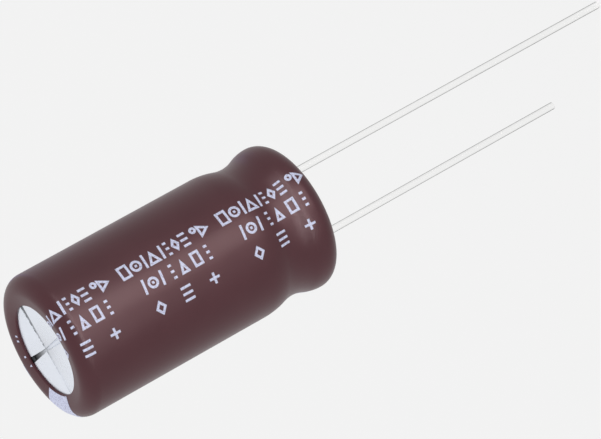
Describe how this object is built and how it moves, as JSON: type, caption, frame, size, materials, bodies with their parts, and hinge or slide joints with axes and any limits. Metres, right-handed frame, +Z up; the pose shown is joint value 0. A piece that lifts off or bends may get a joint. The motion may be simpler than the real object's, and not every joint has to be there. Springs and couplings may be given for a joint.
{
  "type": "electrolytic capacitor",
  "caption": "Radial aluminium electrolytic capacitor: beaded can in a shrunk brown sleeve, cross-scored vent, rubber seal, wound element and straight tinned leads of unequal length",
  "frame": {"origin": "centre of the board plane, midway between the two leads, where the body's foot sits", "axes": "+Z up from the board through the body to the scored vent; the leads run down -Z; +X points to the long positive lead and -X to the short negative lead and the stripe"},
  "size_m": [0.0164, 0.0164, 0.0752],
  "materials": {
    "can_aluminium": "bright drawn",
    "sleeve_film": "satin shrunk film",
    "print_ink": "flat ink",
    "seal_rubber": "moulded",
    "winding_paper": "damp paper over foil",
    "tape_film": "clear film",
    "tab_aluminium": "matte etched",
    "tinned_wire": "bright tin plate"
  },
  "bodies": {
    "root": {"can": "can_aluminium", "sleeve": "sleeve_film", "polarity_stripe": "print_ink", "rubber_seal": "seal_rubber", "winding": "winding_paper", "winding_tape": "tape_film", "anode_tab": "tab_aluminium", "cathode_tab": "tab_aluminium", "anode_lead": "tinned_wire", "cathode_lead": "tinned_wire"}
  },
  "joints": []
}
